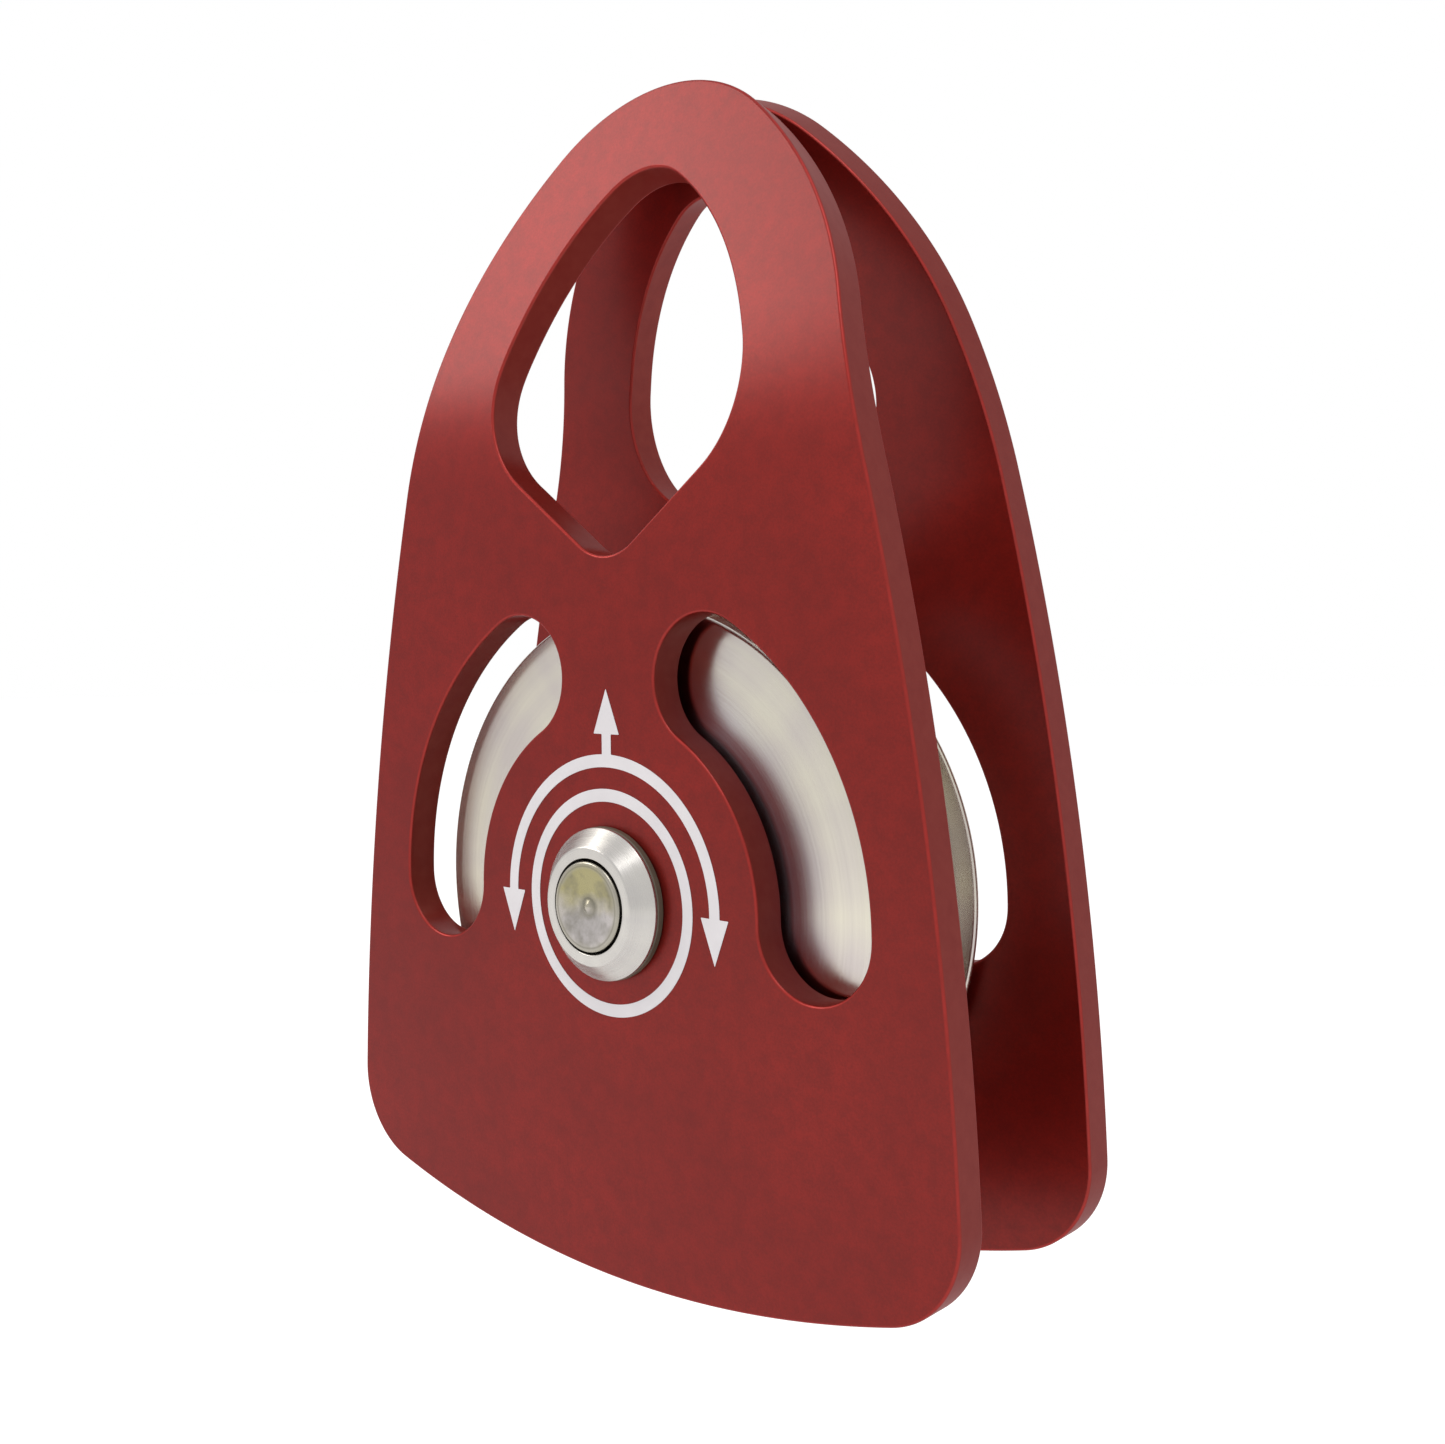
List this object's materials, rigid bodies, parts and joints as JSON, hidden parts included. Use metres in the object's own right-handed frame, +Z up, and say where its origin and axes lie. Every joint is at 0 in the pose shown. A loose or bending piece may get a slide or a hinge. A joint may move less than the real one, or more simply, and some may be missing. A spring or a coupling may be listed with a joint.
{
  "type": "rope pulley",
  "caption": "Arborist rope pulley: two red cheek plates that lean together round a carabiner eye, with a grooved ball-bearing sheave turning on an axle between them.",
  "frame": {"origin": "centre line of the carabiner bar that carries the pulley, on the mid-plane between the cheek plates", "axes": "+Z up, from the axle to the carabiner eye; +Y along the axle, away from the printed plate's viewer; +X to the right seen from the front, the way the rope runs across"},
  "size_m": [0.0694, 0.0268, 0.1007],
  "materials": {
    "cheek_plates": "satin red anodised",
    "sheave": "turned bright, with fine turning marks",
    "axle": "plain, dull yellowish at the peened ends",
    "spacer": "plain turned",
    "axle_caps": "satin turned",
    "cap_washers": "matt dark",
    "thrust_washers": "plain bronze",
    "bearing_rings": "ground",
    "bearing_balls": "polished",
    "bearing_cages": "moulded",
    "bearing_shields": "matt moulded"
  },
  "bodies": {
    "frame": {"front_cheek_plate": "cheek_plates", "axle_pin": "axle", "inner_ring_spacer": "spacer", "front_axle_cap": "axle_caps", "front_cap_washer": "cap_washers", "front_thrust_washer": "thrust_washers", "front_bearing_inner_ring": "bearing_rings", "rear_axle_cap": "axle_caps", "rear_cap_washer": "cap_washers", "rear_thrust_washer": "thrust_washers", "rear_bearing_inner_ring": "bearing_rings"},
    "rear_cheek": {"rear_cheek_plate": "cheek_plates"},
    "sheave": {"sheave": "sheave", "front_bearing_outer_ring": "bearing_rings", "front_bearing_outward_shield": "bearing_shields", "front_bearing_inward_shield": "bearing_shields", "rear_bearing_outer_ring": "bearing_rings", "rear_bearing_outward_shield": "bearing_shields", "rear_bearing_inward_shield": "bearing_shields"},
    "front_ball_set": {"front_bearing_ball_1": "bearing_balls", "front_bearing_ball_2": "bearing_balls", "front_bearing_ball_3": "bearing_balls", "front_bearing_ball_4": "bearing_balls", "front_bearing_ball_5": "bearing_balls", "front_bearing_ball_6": "bearing_balls", "front_bearing_ball_7": "bearing_balls", "front_bearing_cage": "bearing_cages"},
    "rear_ball_set": {"rear_bearing_ball_1": "bearing_balls", "rear_bearing_ball_2": "bearing_balls", "rear_bearing_ball_3": "bearing_balls", "rear_bearing_ball_4": "bearing_balls", "rear_bearing_ball_5": "bearing_balls", "rear_bearing_ball_6": "bearing_balls", "rear_bearing_ball_7": "bearing_balls", "rear_bearing_cage": "bearing_cages"}
  },
  "joints": [
    {"name": "rear_cheek_swing", "type": "hinge", "parent": "frame", "child": "rear_cheek", "pos_m": [0, 0, -0.05504], "axis": [0, 1, 0], "continuous": true},
    {"name": "sheave_spin", "type": "hinge", "parent": "frame", "child": "sheave", "pos_m": [0, 0, -0.05504], "axis": [0, 1, 0], "continuous": true},
    {"name": "front_cage_turn", "type": "hinge", "parent": "frame", "child": "front_ball_set", "pos_m": [0, 0, -0.05504], "axis": [0, 1, 0], "continuous": true},
    {"name": "rear_cage_turn", "type": "hinge", "parent": "frame", "child": "rear_ball_set", "pos_m": [0, 0, -0.05504], "axis": [0, 1, 0], "continuous": true}
  ],
  "couplings": [
    {"joint": "front_cage_turn", "follows": "sheave_spin", "ratio": 0.6111},
    {"joint": "rear_cage_turn", "follows": "sheave_spin", "ratio": 0.6111}
  ]
}
